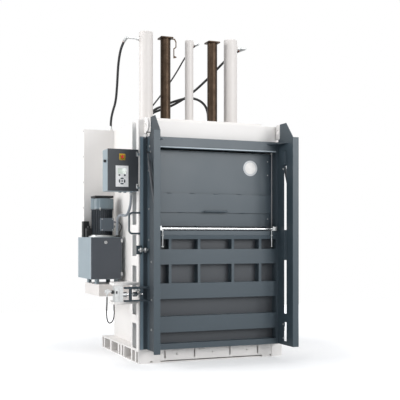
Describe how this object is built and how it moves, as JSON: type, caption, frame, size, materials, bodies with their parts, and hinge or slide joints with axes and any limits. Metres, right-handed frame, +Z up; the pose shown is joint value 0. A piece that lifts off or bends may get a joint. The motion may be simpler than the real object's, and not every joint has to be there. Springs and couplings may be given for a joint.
{
  "type": "vertical recycling baler",
  "caption": "Vertical baler with a hydraulic ram over a chamber, a hinged front door with a loading flap, a control box and a side power pack.",
  "frame": {"origin": "on the floor, on the machine's centre plane, under the row of press cylinders", "axes": "+X to the right seen from the front, +Y to the rear, +Z up"},
  "size_m": [1.914, 2.008, 3.357],
  "materials": {
    "white_paint": "satin powder coat, warm white",
    "grey_paint": "satin powder coat, blue grey",
    "guard_paint": "satin powder coat, mid blue grey",
    "box_paint": "fine textured powder coat, light blue grey",
    "dark_paint": "textured powder coat, dark grey",
    "ram_paint": "brown oiled steel",
    "zinc": "bright zinc plated",
    "steel": "polished ground steel",
    "black_rubber": "smooth black rubber",
    "black_plastic": "moulded black",
    "red_plastic": "moulded red",
    "grey_plastic": "corrugated grey",
    "key_plastic": "moulded dark grey",
    "panel_plastic": "moulded light grey",
    "motor_paint": "sprayed blue grey casting"
  },
  "bodies": {
    "frame": {"base_ribs": "white_paint", "base_plates": "white_paint", "front_plinth": "white_paint", "post_left": "white_paint", "post_right": "white_paint", "top_beam": "white_paint", "side_walls": "white_paint", "rear_wall": "white_paint", "crosshead": "white_paint", "press_cylinders": "white_paint", "lock_lugs": "white_paint", "lock_body": "zinc", "control_box": "box_paint", "support_shelf": "white_paint", "oil_tank": "box_paint", "motor": "motor_paint", "motor_cowl": "motor_paint", "terminal_box": "motor_paint", "rear_cabinet": "white_paint", "cylinder_fittings": "zinc", "hose_left": "black_rubber", "hose_centre": "black_rubber", "hose_right": "black_rubber", "hose_return": "black_rubber", "control_conduit": "grey_plastic", "motor_cable": "black_rubber", "lock_hose": "black_rubber"},
    "ram": {"ram_plate": "ram_paint", "guide_tubes": "ram_paint", "tube_caps": "ram_paint", "piston_rods": "steel"},
    "door": {"door_posts": "grey_paint", "door_panel": "grey_paint", "top_rail": "grey_paint", "guard_left": "guard_paint", "guard_right": "guard_paint", "door_handle": "grey_paint", "lock_arms": "grey_paint", "gas_springs": "dark_paint", "support_chains": "zinc", "shaft_bearings": "zinc", "door_stop": "zinc"},
    "flap": {"flap_panel": "grey_paint", "flap_arms": "grey_paint", "flap_shaft": "steel"},
    "lock_bolt_body": {"lock_bolt": "steel"},
    "control_door_body": {"control_door": "dark_paint", "key_panel": "panel_plastic"},
    "switch_knob_body": {"switch_knob": "red_plastic"},
    "box_latch_body": {"box_latch": "black_plastic"},
    "tank_door_body": {"tank_door": "dark_paint"},
    "tank_lock_body": {"tank_lock": "black_plastic"},
    "fan_body": {"motor_fan": "black_plastic"},
    "key_round_left_body": {"key_round_left": "key_plastic"},
    "key_round_right_body": {"key_round_right": "key_plastic"},
    "key_centre_body": {"key_centre": "key_plastic"},
    "key_up_body": {"key_up": "key_plastic"},
    "key_down_body": {"key_down": "key_plastic"},
    "key_left_body": {"key_left": "key_plastic"},
    "key_right_body": {"key_right": "key_plastic"}
  },
  "joints": [
    {"name": "ram_press", "type": "slide", "parent": "frame", "child": "ram", "axis": [0, 0, -1], "range_m": [0, 0.88]},
    {"name": "door_swing", "type": "hinge", "parent": "frame", "child": "door", "pos_m": [0.786, -0.664, 1.15], "axis": [0, 0, 1], "range_deg": [0, 110]},
    {"name": "flap_fold", "type": "hinge", "parent": "door", "child": "flap", "pos_m": [0, -0.745, 1.298], "axis": [1, 0, 0], "range_deg": [0, 175]},
    {"name": "lock_pull", "type": "slide", "parent": "frame", "child": "lock_bolt_body", "axis": [1, 0, 0], "range_m": [-0.004, 0.04]},
    {"name": "control_door_swing", "type": "hinge", "parent": "frame", "child": "control_door_body", "pos_m": [-0.775, -0.656, 1.85], "axis": [0, 0, 1], "range_deg": [0, 90]},
    {"name": "switch_turn", "type": "hinge", "parent": "control_door_body", "child": "switch_knob_body", "pos_m": [-0.929, -0.66, 1.977], "axis": [0, 1, 0], "range_deg": [0, 90]},
    {"name": "box_latch_turn", "type": "hinge", "parent": "frame", "child": "box_latch_body", "pos_m": [-1.07, -0.56, 1.94], "axis": [-1, 0, 0], "range_deg": [0, 90]},
    {"name": "tank_door_swing", "type": "hinge", "parent": "frame", "child": "tank_door_body", "pos_m": [-0.678, 0.1975, 1], "axis": [0, 0, 1], "range_deg": [0, 90]},
    {"name": "tank_lock_turn", "type": "hinge", "parent": "tank_door_body", "child": "tank_lock_body", "pos_m": [-0.862, 0.19, 1.162], "axis": [0, -1, 0], "range_deg": [0, 90]},
    {"name": "fan_spin", "type": "hinge", "parent": "frame", "child": "fan_body", "pos_m": [-0.835, 0.45, 1.57], "axis": [0, 0, 1], "continuous": true},
    {"name": "key_round_left_press", "type": "slide", "parent": "control_door_body", "child": "key_round_left_body", "axis": [0, 1, 0], "range_m": [0, 0.001], "stiffness_N_per_m": 600},
    {"name": "key_round_right_press", "type": "slide", "parent": "control_door_body", "child": "key_round_right_body", "axis": [0, 1, 0], "range_m": [0, 0.001], "stiffness_N_per_m": 600},
    {"name": "key_centre_press", "type": "slide", "parent": "control_door_body", "child": "key_centre_body", "axis": [0, 1, 0], "range_m": [0, 0.001], "stiffness_N_per_m": 600},
    {"name": "key_up_press", "type": "slide", "parent": "control_door_body", "child": "key_up_body", "axis": [0, 1, 0], "range_m": [0, 0.001], "stiffness_N_per_m": 600},
    {"name": "key_down_press", "type": "slide", "parent": "control_door_body", "child": "key_down_body", "axis": [0, 1, 0], "range_m": [0, 0.001], "stiffness_N_per_m": 600},
    {"name": "key_left_press", "type": "slide", "parent": "control_door_body", "child": "key_left_body", "axis": [0, 1, 0], "range_m": [0, 0.001], "stiffness_N_per_m": 600},
    {"name": "key_right_press", "type": "slide", "parent": "control_door_body", "child": "key_right_body", "axis": [0, 1, 0], "range_m": [0, 0.001], "stiffness_N_per_m": 600}
  ]
}
